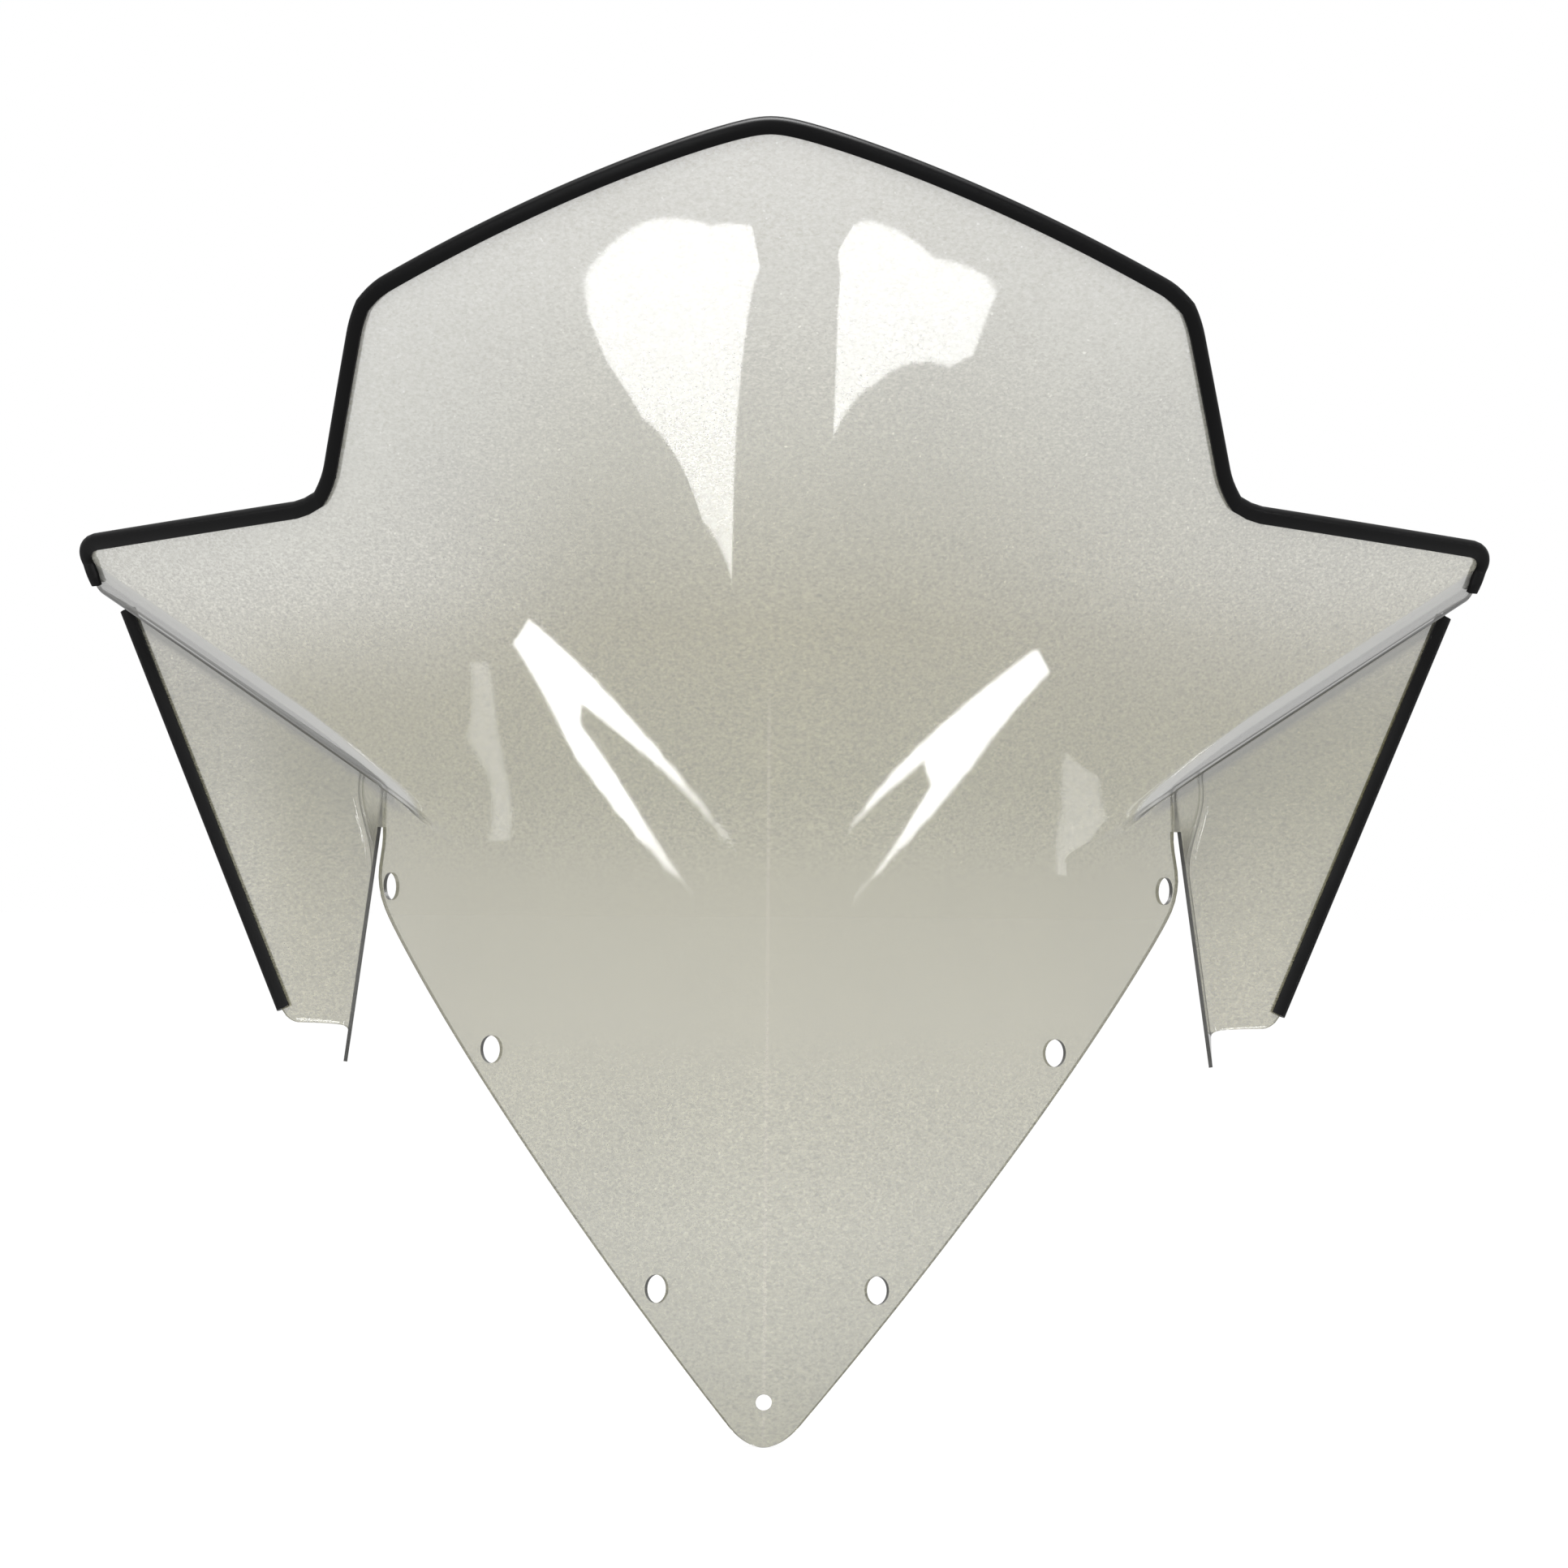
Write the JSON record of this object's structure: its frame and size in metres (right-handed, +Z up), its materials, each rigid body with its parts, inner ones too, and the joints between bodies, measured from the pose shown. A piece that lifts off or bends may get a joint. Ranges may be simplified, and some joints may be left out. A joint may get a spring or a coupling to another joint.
{
  "type": "snowmobile windshield",
  "caption": "Smoke-tinted formed windshield with swept wings, side panels and a pointed nose panel, edged with black push-on trim.",
  "frame": {"origin": "centre of the nose screw hole on the front face of the sheet", "axes": "+Z up from the nose tip to the peak, the convex front faces -Y, +X to the right as seen from the front"},
  "size_m": [0.765, 0.3187, 0.6602],
  "materials": {
    "smoked_sheet": "transparent light smoke tint, glossy with a fine orange-peel texture",
    "trim_rubber": "black extruded trim, satin"
  },
  "bodies": {
    "root": {"screen": "smoked_sheet", "top_trim": "trim_rubber", "left_trim": "trim_rubber", "right_trim": "trim_rubber"}
  },
  "joints": []
}
